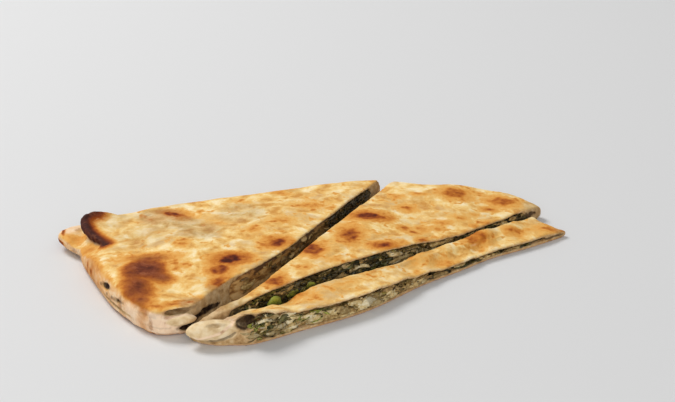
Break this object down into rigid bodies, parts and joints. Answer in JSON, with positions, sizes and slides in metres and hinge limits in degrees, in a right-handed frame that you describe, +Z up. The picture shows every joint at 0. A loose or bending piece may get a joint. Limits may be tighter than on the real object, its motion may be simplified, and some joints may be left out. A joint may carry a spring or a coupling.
{
  "type": "gozleme",
  "caption": "Griddled flatbread folded flat around chopped spinach and white cheese, cut lengthwise into long wedges that lie side by side.",
  "frame": {"origin": "middle of the footprint, on the surface that the slices lie on", "axes": "+Z up, +X along the folded bread's long side, +Y away from the viewer of the picture"},
  "size_m": [0.2268, 0.1503, 0.0168],
  "materials": {
    "crust": "dry griddled dough, pale gold with brown spots, matte with a faint oil sheen",
    "filling": "moist chopped dark green leaves with crumbs of white cheese"
  },
  "bodies": {
    "root": {"left_slice_bread": "crust", "left_slice_filling": "filling", "middle_slice_bread": "crust", "middle_slice_filling": "filling", "front_slice_bread": "crust", "front_slice_filling": "filling"}
  },
  "joints": []
}
